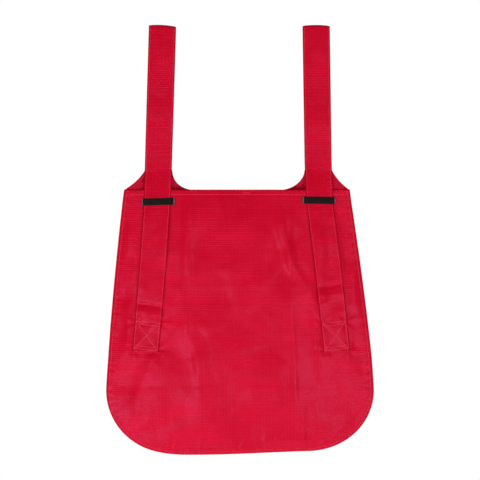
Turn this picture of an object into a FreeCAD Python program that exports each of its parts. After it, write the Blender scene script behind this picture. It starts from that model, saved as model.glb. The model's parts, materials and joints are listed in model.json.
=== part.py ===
import FreeCAD, Part
import math
import os

# Convertible foldable tote bag, in millimetres. +Z is up, the front faces -Y and "left" is -X.
# Heights below are measured from the bag's bottom edge. The pieces are saved with the origin where
# the bag hangs: under the folds of its two handle loops, half way between them.
# Cloth is drawn thicker than it is, so that every piece is a closed solid.

# ---- driving dimensions ----
BODY_HALF_WIDTH = 207.5      # widest place, just above the round bottom corners
HEM_HALF_WIDTH = 175.0       # at the straight top edge
HEM_Z = 410.5                # straight top edge of the front panel
CORNER_R = 100.0             # round bottom corners
SIDE_CURVE = 1.28            # how the sides narrow: 1 is a straight line
BULGE = 17.0                 # how far each panel stands off the middle plane
BULGE_ACROSS = 2.4           # fullness of the bulge from side seam to side seam
BULGE_LOW_Z = 150.0          # height of the fullest place
BULGE_RISE = 2.2             # fullness of the bulge above the bottom seam
MOUTH_CLOSE = 4.5            # how late the bulge closes towards the horn tops
MOUTH_CLOSE_SPAN = 299.0     # height over which it would close completely
RIM_GAP = 0.5                # inner face of each panel to the middle plane, at the seam
PANEL_T = 1.0                # cloth of the two panels

HORN_TOP_Z = 441.0           # top of the back panel's horns, where they are as wide as a strap
HORN_HOLLOW = 2.0            # sag of the horn's outer edge
NECK_CURVE_X = 36.5          # half axes of the round neck corners
STRAP_W = 42.0
STRAP_T = 1.0
STRAP_TOP_Z = 666.0
STRAP_X_TOP = 119.1          # strap centre line: at the fold, at the keeper, at the box stitch
STRAP_X_KEEPER = 124.7
STRAP_X_BOX = 145.9
KEEPER_Z = 393.0
BOX_Z = 185.0
TAIL_END_Z = 161.0           # lower end of the strap on the front
ANCHOR_END_Z = 409.0         # lower end of the strap on the horn
LOOP_BASE_Z = 452.0          # where the handle loop bends, and its hinge line
LOOP_HALF_GAP = 5.0          # from the middle plane to the strap's centre at the fold
LOOP_BOW = 0.86              # share of that gap reached at LOOP_BOW_AT of the loop's height
LOOP_BOW_AT = 0.45

KEEPER_W = 52.0
KEEPER_H = 11.0
KEEPER_T = 0.9
HEM_H = 8.0                  # turned-in hem of the mouth
HEM_T = 0.6
SEAM_W = 6.0                 # closed seam allowance between the panels
SEAM_T = 0.7
STITCH_IN = 4.6              # topstitch row to the finished edge
THREAD_W = 0.8
THREAD_T = 0.4
STRAP_STITCH_IN = 2.5        # edge stitch of the strap to its edge
BOX_W = 36.0                 # box stitch with a cross
BOX_H = 42.0
ANCHOR_BOX_H = 22.0
TACK_W = 2.0                 # bar tack at each keeper end
POCKET_W = 140.0
POCKET_LOW_Z = 195.0
POCKET_TOP_Z = 350.0
POCKET_LIFT = 8.0            # how far the stow pocket stands off the back panel
POCKET_HEM_H = 12.0

# ---- clearances between layers ----
LAY = 0.15                   # cloth on cloth
THREAD_LAY = 0.05            # thread on cloth
THREAD_LIFT = 0.35           # thread on cloth that curves more
STRAP_LAY = 0.6              # strap on the front panel, over the hem's stitches
KEEPER_LAY = 0.3             # keeper ends on the front panel
KEEPER_CLIMB = (21.3, 23.7)  # from the keeper's middle, where it climbs onto the strap

HANG_Z = STRAP_TOP_Z - STRAP_T    # underside of the handle folds: the origin of the saved pieces
FRONT = -1
BACK = 1
SIDES = {"left": -1, "right": 1}


# ---- the shape of the bag ----
def half_width(z):
    """Half the bag's width at a height, measured to the seam."""
    if z < CORNER_R:
        drop = CORNER_R - max(0.0, z)
        return BODY_HALF_WIDTH - CORNER_R + math.sqrt(CORNER_R ** 2 - drop ** 2)
    share = (z - CORNER_R) / (HEM_Z - CORNER_R)
    return BODY_HALF_WIDTH - (BODY_HALF_WIDTH - HEM_HALF_WIDTH) * share ** SIDE_CURVE


def inner_depth(x, z):
    """Distance from the middle plane to a panel's inner face."""
    across = 1 - min(1.0, abs(x) / max(half_width(z), 1.0)) ** BULGE_ACROSS
    if z < BULGE_LOW_Z:
        up = 1 - (1 - z / BULGE_LOW_Z) ** BULGE_RISE
    else:
        up = 1 - ((z - BULGE_LOW_Z) / MOUTH_CLOSE_SPAN) ** MOUTH_CLOSE
    return RIM_GAP + BULGE * across * up


def strap_x(z):
    """Centre line of a strap, as a distance from the middle of the bag."""
    if z >= KEEPER_Z:
        share = (z - KEEPER_Z) / (STRAP_TOP_Z - KEEPER_Z)
        return STRAP_X_KEEPER + (STRAP_X_TOP - STRAP_X_KEEPER) * share
    share = (KEEPER_Z - z) / (KEEPER_Z - BOX_Z)
    return STRAP_X_KEEPER + (STRAP_X_BOX - STRAP_X_KEEPER) * share


def spread(low, high, steps):
    return [low + (high - low) * i / steps for i in range(steps + 1)]


def rim_path(inset, steps=14):
    """Points (x, z) along the side and bottom seam, inset from the edge, from top left to top right."""
    side = [(-(half_width(z) - inset), z) for z in spread(HEM_Z - 0.5, CORNER_R, steps)]
    centre_x = BODY_HALF_WIDTH - CORNER_R
    corner = []
    for angle in spread(0.0, 90.0, 10)[1:]:
        turn = math.radians(angle)
        radius = CORNER_R - inset
        corner.append((-centre_x - radius * math.cos(turn), CORNER_R - radius * math.sin(turn)))
    flat = [(x, inset) for x in spread(-centre_x, 0.0, 5)[1:]]
    left = side + corner + flat
    return left + [(-x, z) for x, z in reversed(left[:-1])]


# ---- building solids from the shape ----
def slab(grid, thickness):
    """A smooth face through a grid of points, made solid along Y by a signed thickness."""
    surface = Part.BSplineSurface()
    surface.interpolate(grid)
    solid = surface.toShape().extrude(FreeCAD.Vector(0, thickness, 0))
    if not solid.isValid() or len(solid.Solids) != 1:
        raise ValueError("a cloth piece is not one valid solid")
    return solid.Solids[0]


def on_panel(face, x, z, offset):
    """A point that stands off a panel's inner face: outwards if offset is positive."""
    return FreeCAD.Vector(x, face * (inner_depth(x, z) + offset), z)


def ribbon(face, path, width, offset, thickness):
    """A band that follows a path on a panel. offset is a number, or a function of the height z.

    A positive thickness grows away from the middle plane, a negative one towards it.
    """
    rows = []
    for i, (x, z) in enumerate(path):
        x0, z0 = path[max(i - 1, 0)]
        x1, z1 = path[min(i + 1, len(path) - 1)]
        run = math.hypot(x1 - x0, z1 - z0)
        side_x, side_z = (z1 - z0) / run, -(x1 - x0) / run
        row = []
        for share in (-0.5, -0.25, 0.0, 0.25, 0.5):
            px, pz = x + side_x * width * share, z + side_z * width * share
            row.append(on_panel(face, px, pz, offset(pz) if callable(offset) else offset))
        rows.append(row)
    return slab(rows, face * thickness)


def prism(points, low_y=-60.0, high_y=60.0):
    """A flat outline of (x, z) points, made solid along Y."""
    wire = Part.makePolygon([FreeCAD.Vector(x, low_y, z) for x, z in points + points[:1]])
    return Part.Face(wire).extrude(FreeCAD.Vector(0, high_y - low_y, 0))


def box_lines(sx, low_z, high_z, width, cross):
    """Box stitch lines about a strap's centre line: four sides, and a cross if asked for."""
    slope = sx * (strap_x(high_z) - strap_x(low_z)) / (high_z - low_z)
    corners = []
    for z, side in ((low_z, -1), (low_z, 1), (high_z, 1), (high_z, -1)):
        across = side * width / 2
        corners.append((sx * strap_x(z) + across, z - across * slope))
    lines = list(zip(corners, corners[1:] + corners[:1]))
    if cross:
        lines += [(corners[0], corners[2]), (corners[1], corners[3])]
    return lines


def stitch_figure(face, lines, offset, thickness=THREAD_T):
    """Thread rows along straight lines on a panel, joined into one solid where they meet."""
    bars = []
    for (x0, z0), (x1, z1) in lines:
        run = math.hypot(x1 - x0, z1 - z0)
        ax, az = (x1 - x0) / run * THREAD_W / 2, (z1 - z0) / run * THREAD_W / 2
        bars.append(prism([(x0 - ax + az, z0 - az - ax), (x0 - ax - az, z0 - az + ax),
                           (x1 + ax - az, z1 + az + ax), (x1 + ax + az, z1 + az - ax)]))
    outline = bars[0].multiFuse(bars[1:])
    xs = [x for line in lines for x, z in line]
    zs = [z for line in lines for x, z in line]
    grid = []
    for z in spread(min(zs) - 3, max(zs) + 3, 8):
        row = []
        for x in spread(min(xs) - 3, max(xs) + 3, 6):
            row.append(on_panel(face, x, z, offset(x, z) if callable(offset) else offset))
        grid.append(row)
    return outline.common(slab(grid, face * thickness))


# ---- sub-parts ----
def panel(face, top_z):
    """A bag panel from the bottom seam up to top_z."""
    corner = [CORNER_R * (1 - math.cos(math.radians(a))) for a in spread(0.0, 90.0, 9)]
    heights = corner + spread(CORNER_R, HEM_Z, 12)[1:]
    if top_z > HEM_Z:
        heights += spread(HEM_Z, top_z, 3)[1:]
    shares = spread(-1.0, 1.0, 24)
    grid = []
    for z in heights:
        grid.append([FreeCAD.Vector(s * half_width(z), face * inner_depth(s * half_width(z), z), z)
                     for s in shares])
    return slab(grid, face * PANEL_T)


def neck_curve(inset):
    """Right half of the mouth's back edge, (x, z) from the middle to the strap, inset below the edge."""
    top_x = strap_x(HORN_TOP_Z) - STRAP_W / 2 + inset
    across, down = NECK_CURVE_X + inset, HORN_TOP_Z - HEM_Z + inset
    centre_x = top_x - across
    points = [(0.0, HEM_Z - inset), (centre_x / 2, HEM_Z - inset)]
    for angle in spread(90.0, 0.0, 9):
        turn = math.radians(angle)
        points.append((centre_x + across * math.cos(turn), HORN_TOP_Z - down * math.sin(turn)))
    return points


def horn_curve(inset, share=1.0):
    """Outer edge of the right horn, (x, z) from the strap down to the side seam, slightly hollow."""
    top_x = strap_x(HORN_TOP_Z) + STRAP_W / 2 - inset
    low_x, low_z = half_width(HEM_Z) - inset, HEM_Z - inset
    points = []
    for part in spread(0.0, share, 6):
        sag = 4 * HORN_HOLLOW * part * (1 - part)
        points.append((top_x + (low_x - top_x) * part - sag, HORN_TOP_Z + (low_z - HORN_TOP_Z) * part - sag))
    return points


def mirrored(half):
    """A whole edge from its right half, which starts in the middle."""
    return [(-x, z) for x, z in reversed(half)] + half[1:]


def back_panel():
    """The back panel ends in two horns that carry the straps."""
    above = HORN_TOP_Z + 20
    beyond = HEM_HALF_WIDTH + 40
    mouth = mirrored(neck_curve(0.0))
    body = panel(BACK, HORN_TOP_Z)
    body = body.cut(prism([(mouth[0][0], above)] + mouth + [(mouth[-1][0], above)]))
    for sx in SIDES.values():
        horn = [(sx * x, z) for x, z in horn_curve(0.0)]
        body = body.cut(prism(horn + [(sx * beyond, horn[-1][1]), (sx * beyond, above), (horn[0][0], above)]))
    return body


def neck_bands(inset, width, offset, thickness):
    """Cloth or thread along the back panel's top edge, broken where the straps are sewn on."""
    bands = [ribbon(BACK, mirrored(neck_curve(inset)), width, offset, thickness)]
    for sx in SIDES.values():
        horn = [(sx * x, z) for x, z in horn_curve(inset, 0.8)]
        bands.append(ribbon(BACK, horn, width, offset, thickness))
    for sx in SIDES.values():
        low, high, reach = ANCHOR_END_Z - 1, HORN_TOP_Z + 10, STRAP_W / 2 + 0.5
        strap = prism([(sx * strap_x(low) - reach, low), (sx * strap_x(low) + reach, low),
                       (sx * strap_x(high) + reach, high), (sx * strap_x(high) - reach, high)])
        bands = [band.cut(strap) for band in bands]
    return [solid for band in bands for solid in band.Solids]


def strap_offset(z):
    """The front strap lies on the panel, and above the hem it comes in to meet its other leg."""
    share = min(1.0, max(0.0, (z - HEM_Z) / (HORN_TOP_Z - HEM_Z)))
    on_cloth, meeting = PANEL_T + STRAP_LAY, -LAY - STRAP_T
    return on_cloth + (meeting - on_cloth) * share * share * (3 - 2 * share)


def strap_tail(sx):
    """The strap on the front, from below its box stitch to just under the hinge line."""
    path = [(sx * strap_x(z), z) for z in spread(TAIL_END_Z, HORN_TOP_Z, 28)]
    return ribbon(FRONT, path, STRAP_W, strap_offset, STRAP_T)


def strap_anchor(sx):
    """The strap's other end, sewn inside the horn."""
    path = [(sx * strap_x(z), z) for z in spread(ANCHOR_END_Z, HORN_TOP_Z, 5)]
    return ribbon(BACK, path, STRAP_W - 2, -LAY, -STRAP_T)


def seam_allowance():
    """The cloth edges closed inside the seam, between the two panels."""
    grid = []
    outer, inner = rim_path(0.4), rim_path(SEAM_W)
    for (x0, z0), (x1, z1) in zip(outer, inner):
        grid.append([FreeCAD.Vector(x0 + (x1 - x0) * s, -SEAM_T / 2, z0 + (z1 - z0) * s)
                     for s in (0.0, 0.5, 1.0)])
    return slab(grid, SEAM_T)


def perimeter_stitch():
    """The topstitch row along the seam, which shows on both faces."""
    offset = PANEL_T + THREAD_LAY
    return [ribbon(face, rim_path(STITCH_IN), THREAD_W, offset, THREAD_T) for face in (FRONT, BACK)]


def front_hem():
    """The turned-in top edge of the front panel."""
    path = [(x, HEM_Z - HEM_H / 2 - 0.2) for x in spread(-HEM_HALF_WIDTH + 8, HEM_HALF_WIDTH - 8, 16)]
    return ribbon(FRONT, path, HEM_H, -LAY, -HEM_T)


def front_hem_stitch():
    """Topstitch of the front hem, broken where the straps cross it."""
    z = HEM_Z - HEM_H + 0.8
    gap_in = strap_x(z) - STRAP_W / 2 - 1
    gap_out = strap_x(z) + STRAP_W / 2 + 1
    edge = HEM_HALF_WIDTH - STITCH_IN - 2
    rows = []
    for low, high in ((-edge, -gap_out), (-gap_in, gap_in), (gap_out, edge)):
        path = [(x, z) for x in spread(low, high, 6)]
        rows.append(ribbon(FRONT, path, THREAD_W, PANEL_T + THREAD_LAY, THREAD_T))
    return rows


def box_stitch(sx):
    """The box with a cross that sews the strap's lower end to the front panel."""
    lines = box_lines(sx, BOX_Z - BOX_H / 2, BOX_Z + BOX_H / 2, BOX_W, cross=True)
    return stitch_figure(FRONT, lines, strap_offset(BOX_Z) + STRAP_T + THREAD_LAY)


def anchor_stitch(sx):
    """Box stitch on the back of a horn, where the strap is sewn inside it."""
    low = ANCHOR_END_Z + 4
    lines = box_lines(sx, low, low + ANCHOR_BOX_H, BOX_W - 3, cross=False)
    return stitch_figure(BACK, lines, PANEL_T + THREAD_LAY)


def leg_points(face, lift):
    """Foot, bow and top (y, z) of one leg of a handle loop, lifted off the strap's centre line."""
    foot = inner_depth(STRAP_X_KEEPER, HORN_TOP_Z) - LAY - STRAP_T / 2
    top_z = STRAP_TOP_Z - LOOP_HALF_GAP - STRAP_T / 2
    bow_z = LOOP_BASE_Z + LOOP_BOW_AT * (top_z - LOOP_BASE_Z)
    leg = ((foot, LOOP_BASE_Z), (LOOP_BOW * LOOP_HALF_GAP, bow_z), (LOOP_HALF_GAP, top_z))
    return [FreeCAD.Vector(0, face * (y + lift), z) for y, z in leg]


def closed_strip(edges, low_x, high_x):
    """Close the ends of two edge chains with straight lines, and make the strip solid along X."""
    (outer, inner) = edges
    ends = [Part.makeLine(outer[0].Vertexes[0].Point, inner[0].Vertexes[0].Point),
            Part.makeLine(outer[-1].Vertexes[-1].Point, inner[-1].Vertexes[-1].Point)]
    strip = Part.Face(Part.Wire(Part.__sortEdges__(outer + inner + ends)))
    strip.translate(FreeCAD.Vector(low_x, 0, 0))
    return strip.extrude(FreeCAD.Vector(high_x - low_x, 0, 0))


def lean_with_strap(shape, sx):
    """Move a piece drawn about x = 0 onto a strap's slightly leaning centre line."""
    lean = math.degrees(math.atan2(strap_x(LOOP_BASE_Z) - strap_x(STRAP_TOP_Z), STRAP_TOP_Z - LOOP_BASE_Z))
    hinge = FreeCAD.Vector(sx * strap_x(LOOP_BASE_Z), 0, LOOP_BASE_Z)
    shape.translate(FreeCAD.Vector(hinge.x, 0, 0))
    shape.rotate(hinge, FreeCAD.Vector(0, 1, 0), -sx * lean)
    return shape


def handle_loop(sx):
    """The free part of a strap: up from the hinge line, over the fold and down again."""
    edges = []
    for lift in (STRAP_T / 2, -STRAP_T / 2):
        front, back = leg_points(FRONT, lift), leg_points(BACK, lift)
        fold = FreeCAD.Vector(0, 0, front[-1].z + LOOP_HALF_GAP + lift)
        chain = [Part.Arc(*front), Part.Arc(front[-1], fold, back[-1]), Part.Arc(*reversed(back))]
        edges.append([arc.toShape() for arc in chain])
    return lean_with_strap(closed_strip(edges, -STRAP_W / 2, STRAP_W / 2), sx)


def loop_edge_stitch(sx):
    """Two rows of edge stitch on the outside of each leg of a handle loop."""
    rows = []
    for face in (FRONT, BACK):
        edges = [[Part.Arc(*leg_points(face, STRAP_T / 2 + THREAD_LAY + lift)).toShape()]
                 for lift in (0, THREAD_T)]
        for side in (-1, 1):
            x = side * (STRAP_W / 2 - STRAP_STITCH_IN)
            rows.append(lean_with_strap(closed_strip(edges, x - THREAD_W / 2, x + THREAD_W / 2), sx))
    return rows


def tail_edge_stitch(sx):
    """Edge stitch on both sides of the front strap, broken where the keeper covers it."""
    below = (BOX_Z + BOX_H / 2 + 4, KEEPER_Z - KEEPER_H / 2 - 2)
    above = (KEEPER_Z + KEEPER_H / 2 + 2, HORN_TOP_Z - 1)
    rows = []
    for low, high in (below, above):
        for side in (-1, 1):
            across = side * (STRAP_W / 2 - STRAP_STITCH_IN)
            path = [(sx * strap_x(z) + across, z) for z in spread(low, high, 10)]
            rows.append(ribbon(FRONT, path, THREAD_W, strap_stitch_offset, THREAD_T))
    return rows


def strap_stitch_offset(z):
    return strap_offset(z) + STRAP_T + THREAD_LIFT


def keeper_offset(across):
    """The keeper's ends lie on the panel and its middle lies over the strap."""
    low, high = KEEPER_CLIMB
    share = min(1.0, max(0.0, (high - abs(across)) / (high - low)))
    return PANEL_T + KEEPER_LAY + share * share * (3 - 2 * share) * (STRAP_LAY + STRAP_T)


def keeper(sx):
    """Webbing sewn down at both ends, with the strap running under its middle."""
    grid = []
    for z in spread(KEEPER_Z - KEEPER_H / 2, KEEPER_Z + KEEPER_H / 2, 12):
        grid.append([on_panel(FRONT, sx * STRAP_X_KEEPER + across, z, keeper_offset(across))
                     for across in spread(-KEEPER_W / 2, KEEPER_W / 2, 65)])
    return slab(grid, FRONT * KEEPER_T)


def keeper_tacks(sx):
    """A bar tack across each end of a keeper."""
    offset = keeper_offset(KEEPER_W) + KEEPER_T + THREAD_LIFT
    bars = []
    for side in (-1, 1):
        x = sx * STRAP_X_KEEPER + side * (KEEPER_CLIMB[1] + KEEPER_W / 2) / 2
        path = [(x, z) for z in spread(KEEPER_Z - KEEPER_H / 2 + 1, KEEPER_Z + KEEPER_H / 2 - 1, 3)]
        bars.append(ribbon(FRONT, path, TACK_W, offset, THREAD_T))
    return bars


def stow_pocket_offset(x, z):
    """The pocket is sewn down at its sides and bottom, and stands open at the top."""
    across = 1 - min(1.0, abs(x) / (POCKET_W / 2)) ** 4
    up = min(1.0, (z - POCKET_LOW_Z) / (0.35 * (POCKET_TOP_Z - POCKET_LOW_Z)))
    return -LAY - POCKET_LIFT * across * math.sin(max(0.0, up) * math.pi / 2)


def stow_pocket():
    """The pocket inside the back panel that the whole bag folds into."""
    grid = []
    for z in spread(POCKET_LOW_Z, POCKET_TOP_Z, 10):
        grid.append([on_panel(BACK, x, z, stow_pocket_offset(x, z))
                     for x in spread(-POCKET_W / 2, POCKET_W / 2, 16)])
    return slab(grid, -HEM_T)


def stow_pocket_hem():
    """The pocket's top edge, turned in towards the back panel."""
    hem_t = HEM_T * 0.8
    reach = POCKET_W / 2 - 8
    grid = []
    for z in spread(POCKET_TOP_Z - POCKET_HEM_H, POCKET_TOP_Z, 3):
        grid.append([on_panel(BACK, x, z, stow_pocket_offset(x, z) + LAY) for x in spread(-reach, reach, 14)])
    return slab(grid, hem_t)


def stow_pocket_stitch():
    """Thread down one side, along the bottom and up the other side of the stow pocket."""
    inset = 2.0
    side, low, high = POCKET_W / 2 - inset, POCKET_LOW_Z + inset, POCKET_TOP_Z - 1
    corners = [(-side, high), (-side, low), (side, low), (side, high)]
    rows = []
    for (x0, z0), (x1, z1) in zip(corners, corners[1:]):
        half_x, half_z = (THREAD_W / 2, 0.0) if x0 == x1 else (0.0, THREAD_W / 2)
        grid = []
        for share in spread(0.0, 1.0, 12):
            x, z = x0 + (x1 - x0) * share, z0 + (z1 - z0) * share
            offset = stow_pocket_offset(x, z) - HEM_T - 2 * THREAD_LIFT
            grid.append([on_panel(BACK, x + k * half_x, z + k * half_z, offset) for k in (-1, 0, 1)])
        rows.append(slab(grid, -THREAD_T))
    return rows


def save(name, solids):
    shape = solids if isinstance(solids, Part.Shape) else Part.makeCompound(solids)
    shape.translate(FreeCAD.Vector(0, 0, -HANG_Z))
    shape.exportStep("parts/" + name + ".step")
    box = shape.BoundBox
    print("%-24s solids %d  valid %s  volume %.1f  x %.1f..%.1f  y %.2f..%.2f  z %.1f..%.1f" % (
        name, len(shape.Solids), shape.isValid(), shape.Volume,
        box.XMin, box.XMax, box.YMin, box.YMax, box.ZMin, box.ZMax))


os.makedirs("parts", exist_ok=True)
save("front_panel", panel(FRONT, HEM_Z))
save("back_panel", back_panel())
save("perimeter_seam", seam_allowance())
save("perimeter_stitch", perimeter_stitch())
save("front_hem", front_hem())
save("front_hem_stitch", front_hem_stitch())
save("back_neck_hem", neck_bands(HEM_H / 2 + 0.3, HEM_H, -LAY, -HEM_T))
save("back_neck_stitch", neck_bands(HEM_H - 0.8, THREAD_W, PANEL_T + THREAD_LAY, THREAD_T))
save("stow_pocket", stow_pocket())
save("stow_pocket_hem", stow_pocket_hem())
save("stow_pocket_stitch", stow_pocket_stitch())
for side, sx in SIDES.items():
    save(side + "_strap_tail", strap_tail(sx))
    save(side + "_strap_anchor", strap_anchor(sx))
    save(side + "_handle_loop", handle_loop(sx))
    save(side + "_loop_edge_stitch", loop_edge_stitch(sx))
    save(side + "_tail_edge_stitch", tail_edge_stitch(sx))
    save(side + "_keeper", keeper(sx))
    save(side + "_keeper_tacks", keeper_tacks(sx))
    save(side + "_box_stitch", box_stitch(sx))
    save(side + "_anchor_stitch", anchor_stitch(sx))
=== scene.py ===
import json
import math

import bpy
import numpy as np
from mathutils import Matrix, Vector, noise
from mathutils.bvhtree import BVHTree


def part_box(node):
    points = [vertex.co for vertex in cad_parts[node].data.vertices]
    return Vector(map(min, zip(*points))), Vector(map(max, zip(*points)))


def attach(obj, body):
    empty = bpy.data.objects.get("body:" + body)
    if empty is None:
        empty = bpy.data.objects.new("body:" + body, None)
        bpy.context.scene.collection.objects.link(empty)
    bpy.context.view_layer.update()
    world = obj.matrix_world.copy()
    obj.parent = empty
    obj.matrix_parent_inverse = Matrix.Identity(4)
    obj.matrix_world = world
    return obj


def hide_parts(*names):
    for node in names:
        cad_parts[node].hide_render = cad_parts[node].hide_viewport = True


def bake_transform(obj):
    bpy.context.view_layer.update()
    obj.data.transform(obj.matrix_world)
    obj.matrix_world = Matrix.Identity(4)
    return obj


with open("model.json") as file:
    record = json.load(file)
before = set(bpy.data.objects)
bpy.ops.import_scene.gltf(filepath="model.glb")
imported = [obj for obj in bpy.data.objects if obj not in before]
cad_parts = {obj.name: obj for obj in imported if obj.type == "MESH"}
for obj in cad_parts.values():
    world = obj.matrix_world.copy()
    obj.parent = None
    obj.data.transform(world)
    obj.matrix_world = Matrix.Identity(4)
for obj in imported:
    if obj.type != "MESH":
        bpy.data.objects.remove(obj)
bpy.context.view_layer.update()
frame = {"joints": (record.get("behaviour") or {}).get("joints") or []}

# A foldable tote bag hangs from the folds of its two handle straps. Everything is in metres, in the
# frame of the CAD model: +Z up, the front faces -Y, "left" is -X. "Height" means above the bag's bottom.

MM = 0.001
SIDES = {"left": -1, "right": 1}
FRONT, BACK = -1, 1

# ---- sizes taken from the frame ----
BOTTOM_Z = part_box("front_panel")[0].z
HALF_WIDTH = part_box("front_panel")[1].x
HEM_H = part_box("front_panel")[1].z - BOTTOM_Z
HORN_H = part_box("back_panel")[1].z - BOTTOM_Z
TOP_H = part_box("left_handle_loop")[1].z - BOTTOM_Z
HINGE_H = next(j for j in frame["joints"] if j["name"] == "left_handle_swing")["pos_m"][2] - BOTTOM_Z
TAIL_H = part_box("left_strap_tail")[0].z - BOTTOM_Z
ANCHOR_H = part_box("left_strap_anchor")[0].z - BOTTOM_Z
KEEPER_LOW, KEEPER_HIGH = (corner.z - BOTTOM_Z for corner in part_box("left_keeper"))

# ---- driving sizes of the cloth, as in the CAD model; only STRAP_LAY is smaller here ----
HEM_HALF = 175.0 * MM
CORNER_R = 100.0 * MM
SIDE_CURVE = 1.28
BULGE = 17.0 * MM
BULGE_ACROSS = 2.4
BULGE_LOW = 150.0 * MM
BULGE_RISE = 2.2
MOUTH_CLOSE = 4.5
MOUTH_SPAN = 299.0 * MM
RIM_GAP = 0.5 * MM
PANEL_T = 1.0 * MM
HORN_HOLLOW = 2.0 * MM
NECK_CURVE_X = 36.5 * MM
STRAP_W = 42.0 * MM
STRAP_T = 1.0 * MM
STRAP_LINE = ((185 * MM, 145.9 * MM), (393 * MM, 124.7 * MM), (666 * MM, 119.1 * MM))
STRAP_LAY = 0.4 * MM
LOOP_GAP = 5.0 * MM
LAY = 0.15 * MM
HEM_TALL = 8 * MM
BOX_H, BOX_TALL, BOX_W = 185 * MM, 42 * MM, 36 * MM
ANCHOR_TALL, ANCHOR_W = 22 * MM, BOX_W - 3 * MM
POCKET_W, POCKET_LOW, POCKET_TOP = 140 * MM, 195 * MM, 350 * MM
POCKET_HEM = 12 * MM
STITCH_IN = 4.6 * MM
HEM_STITCH_IN = 7.2 * MM
STRAP_STITCH_IN = 2.5 * MM

# ---- how the bag hangs and turns ----
LEAN = 4.8 * MM
LEG_BOW = 6.28 / 4.1    # a parabola close to the CAD model's arc

# ---- how finely the cloth is drawn ----
CELL = 2.4 * MM
CLOTH_T = 0.4 * MM
RIM_ROUND = 1.3 * MM
STITCH_LONG, STITCH_GAP, THREAD_R = 2.7 * MM, 0.7 * MM, 0.32 * MM


def smooth(t):
    t = np.clip(t, 0.0, 1.0)
    return t * t * (3 - 2 * t)


# ---- the shape of the bag, before it is creased ----
def half_width(h):
    h = np.asarray(h, float)
    drop = CORNER_R - np.clip(h, 0.0, CORNER_R)
    corner = HALF_WIDTH - CORNER_R + np.sqrt(CORNER_R ** 2 - drop ** 2)
    share = np.clip((h - CORNER_R) / (HEM_H - CORNER_R), 0.0, None)
    return np.where(h < CORNER_R, corner, HALF_WIDTH - (HALF_WIDTH - HEM_HALF) * share ** SIDE_CURVE)


def depth(x, h):
    """Distance from the middle plane to a panel's inner face."""
    h = np.maximum(h, 0.0)
    across = 1 - np.minimum(1.0, np.abs(x) / half_width(h)) ** BULGE_ACROSS
    low = 1 - np.clip(1 - h / BULGE_LOW, 0.0, 1.0) ** BULGE_RISE
    high = 1 - np.clip((h - BULGE_LOW) / MOUTH_SPAN, 0.0, 1.0) ** MOUTH_CLOSE
    return RIM_GAP + BULGE * across * low * high


def askew(x, h):
    """The bag hangs a little askew: its top leans to the left and its bottom edge climbs to the right."""
    shift = -LEAN * np.clip((h - 0.15) / 0.245, 0, 1) + 2.3 * MM * smooth((h - 0.405) / 0.036)
    climb = 6.5 * MM * smooth((x + 0.07) / 0.22) + 2.6 * MM * smooth((-x - 0.085) / 0.045)
    return x + shift, h + climb * np.clip(1 - h / CORNER_R, 0, 1)


# How far each strap strays from its drawn line, as (height, distance to the right).
STRAP_DRIFT = {
    "left": ((0.185, 1.9 * MM), (0.300, 0.0), (0.393, -3.2 * MM), (0.455, -2.9 * MM), (0.660, -1.0 * MM)),
    "right": ((0.185, 1.6 * MM), (0.300, 0.6 * MM), (0.384, -1.4 * MM), (0.455, -2.4 * MM), (0.660, -1.2 * MM)),
}


def strap_x(side, h):
    """Centre line of a strap at a height, straight below its box stitch too."""
    h = np.asarray(h, float)
    (h0, x0), (h1, x1), (h2, x2) = STRAP_LINE
    line = np.where(h < h1, x1 + (x0 - x1) * (h1 - h) / (h1 - h0), x1 + (x2 - x1) * (h - h1) / (h2 - h1))
    heights, drifts = zip(*STRAP_DRIFT[side])
    return SIDES[side] * line + np.interp(h, heights, drifts)


def drawn_x(h):
    """How far a strap's drawn line is from the middle at a height, before it strays."""
    return np.interp(h, *zip(*STRAP_LINE))


# ---- outlines, as (x, height) before the bag is set askew ----
def arc_length(points):
    return np.concatenate([[0], np.cumsum(np.linalg.norm(np.diff(points, axis=0), axis=1))])


def resample(points, count):
    along = arc_length(points)
    at = np.linspace(0, along[-1], count + 1)
    return np.stack([np.interp(at, along, points[:, k]) for k in range(points.shape[1])], axis=1)


def unit_normals(line):
    """Unit vectors to the right of a line of (x, height)."""
    ahead = np.gradient(line, axis=0)
    normal = np.stack([ahead[:, 1], -ahead[:, 0]], axis=1)
    return normal / np.linalg.norm(normal, axis=1, keepdims=True)


def corner_arc(start, end, steps=48):
    """Right bottom corner between two angles, measured from straight down."""
    turn = np.radians(np.linspace(start, end, steps))
    x = HALF_WIDTH - CORNER_R + CORNER_R * np.sin(turn)
    return np.stack([x, CORNER_R - CORNER_R * np.cos(turn)], axis=1)


def mirrored(half):
    """A whole line from its right half, which starts in the middle."""
    return np.concatenate([half[::-1] * (-1, 1), half[1:]])


def side_line(top_h):
    """Right edge from half way round the bottom corner to the top."""
    heights = np.linspace(CORNER_R, top_h, 90)
    straight = np.stack([half_width(heights), heights], axis=1)
    return np.concatenate([corner_arc(45, 90), straight[1:]])


def bottom_line():
    """Bottom edge between the middles of the two round corners."""
    flat = np.stack([np.linspace(0, HALF_WIDTH - CORNER_R, 40), np.zeros(40)], axis=1)
    return mirrored(np.concatenate([flat, corner_arc(0, 45)[1:]]))


def seam_line(inset=0.0):
    """Side and bottom seam from the top left to the top right, inset from the edge."""
    half = np.concatenate([bottom_line()[len(bottom_line()) // 2:], side_line(HEM_H)[1:]])
    line = mirrored(half)
    return line - inset * unit_normals(line)


def neck_curve():
    """Right half of the back panel's edge at the mouth, from the middle to the strap."""
    top_x = drawn_x(HORN_H) - STRAP_W / 2
    turn = np.radians(np.linspace(90, 0, 40))
    curve = np.stack([top_x - NECK_CURVE_X + NECK_CURVE_X * np.cos(turn),
                      HORN_H - (HORN_H - HEM_H) * np.sin(turn)], axis=1)
    return np.concatenate([[(0.0, HEM_H)], curve])


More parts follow.
